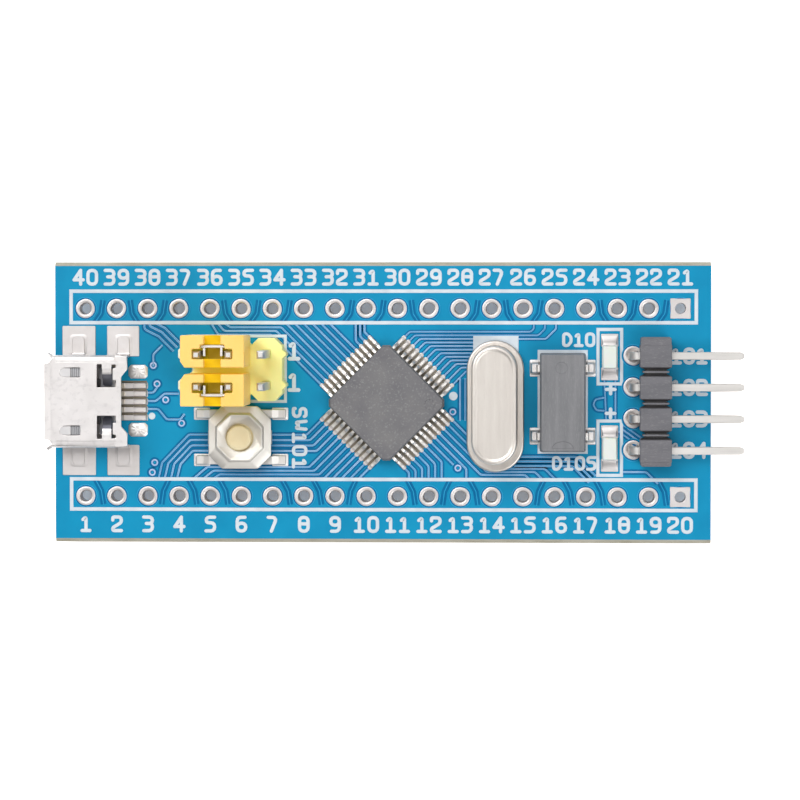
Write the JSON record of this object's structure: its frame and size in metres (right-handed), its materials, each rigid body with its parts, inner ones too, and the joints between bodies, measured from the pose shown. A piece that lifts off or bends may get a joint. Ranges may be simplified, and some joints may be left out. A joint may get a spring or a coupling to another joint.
{
  "type": "microcontroller dev board",
  "caption": "Slim blue breakout board with a square microcontroller, micro-USB socket, pin-header rows, reset button, boot jumpers and a right-angle debug header.",
  "frame": {"origin": "under the middle of the bounding box, at the level of the pin tails below the board", "axes": "+X along the board from the USB socket to the debug header, +Y across it, +Z out of the face that carries the parts"},
  "size_m": [0.0562, 0.0228, 0.0115],
  "materials": {
    "board": "satin",
    "steel": "satin",
    "can": "satin",
    "tin": "gloss",
    "bronze": "gloss",
    "gold": "gloss",
    "lemon": "satin",
    "amber": "satin",
    "nylon": "satin",
    "cream": "satin",
    "epoxy": "matte",
    "black": "satin",
    "quartz": "polished",
    "lens": "gloss",
    "ceramic": "satin",
    "resistor": "satin"
  },
  "bodies": {
    "board_assembly": {"boot_header_housing": "lemon", "boot_pin_1": "tin", "boot_pin_2": "tin", "boot_pin_3": "tin", "boot_pin_4": "tin", "boot_pin_5": "tin", "boot_pin_6": "tin", "boot_resistor_1": "resistor", "boot_resistor_2": "resistor", "circuit_board": "board", "crystal_base": "can", "crystal_can": "can", "crystal_lead_1": "tin", "crystal_lead_2": "tin", "crystal_load_capacitor_1": "ceramic", "crystal_load_capacitor_2": "ceramic", "crystal_quartz_blank": "quartz", "debug_header_housing": "black", "debug_pin_1": "tin", "debug_pin_2": "tin", "debug_pin_3": "tin", "debug_pin_4": "tin", "mcu_decoupling_capacitor_1": "ceramic", "mcu_decoupling_capacitor_2": "ceramic", "mcu_decoupling_capacitor_3": "ceramic", "mcu_leads": "tin", "mcu_package": "epoxy", "power_led_base": "nylon", "power_led_lens": "lens", "regulator_body": "epoxy", "regulator_input_capacitor": "ceramic", "regulator_leads": "tin", "regulator_output_capacitor": "ceramic", "reset_switch_base": "black", "reset_switch_cover": "steel", "reset_switch_dome": "steel", "reset_switch_terminal_lower": "tin", "reset_switch_terminal_upper": "tin", "usb_contact_1": "gold", "usb_contact_2": "gold", "usb_contact_3": "gold", "usb_contact_4": "gold", "usb_contact_5": "gold", "usb_insulator": "nylon", "usb_pullup_resistor": "resistor", "usb_series_resistor_1": "resistor", "usb_series_resistor_2": "resistor", "usb_shell": "steel", "user_led_base": "nylon", "user_led_lens": "lens", "watch_crystal_body": "epoxy", "watch_crystal_lead_1": "tin", "watch_crystal_lead_2": "tin", "watch_crystal_lead_3": "tin", "watch_crystal_lead_4": "tin"},
    "reset_plunger": {"reset_switch_plunger": "cream"},
    "jumper_upper": {"boot_jumper_cap_upper": "amber", "boot_jumper_clip_upper": "bronze"},
    "jumper_lower": {"boot_jumper_cap_lower": "amber", "boot_jumper_clip_lower": "bronze"}
  },
  "joints": [
    {"name": "reset_press", "type": "slide", "parent": "board_assembly", "child": "reset_plunger", "axis": [0, 0, -1], "range_m": [0, 0.00025], "stiffness_N_per_m": 6400, "deforming": ["reset_switch_dome"]},
    {"name": "jumper_upper_lift", "type": "slide", "parent": "board_assembly", "child": "jumper_upper", "axis": [0, 0, 1], "range_m": [0, 0.007]},
    {"name": "jumper_lower_lift", "type": "slide", "parent": "board_assembly", "child": "jumper_lower", "axis": [0, 0, 1], "range_m": [0, 0.007]}
  ]
}
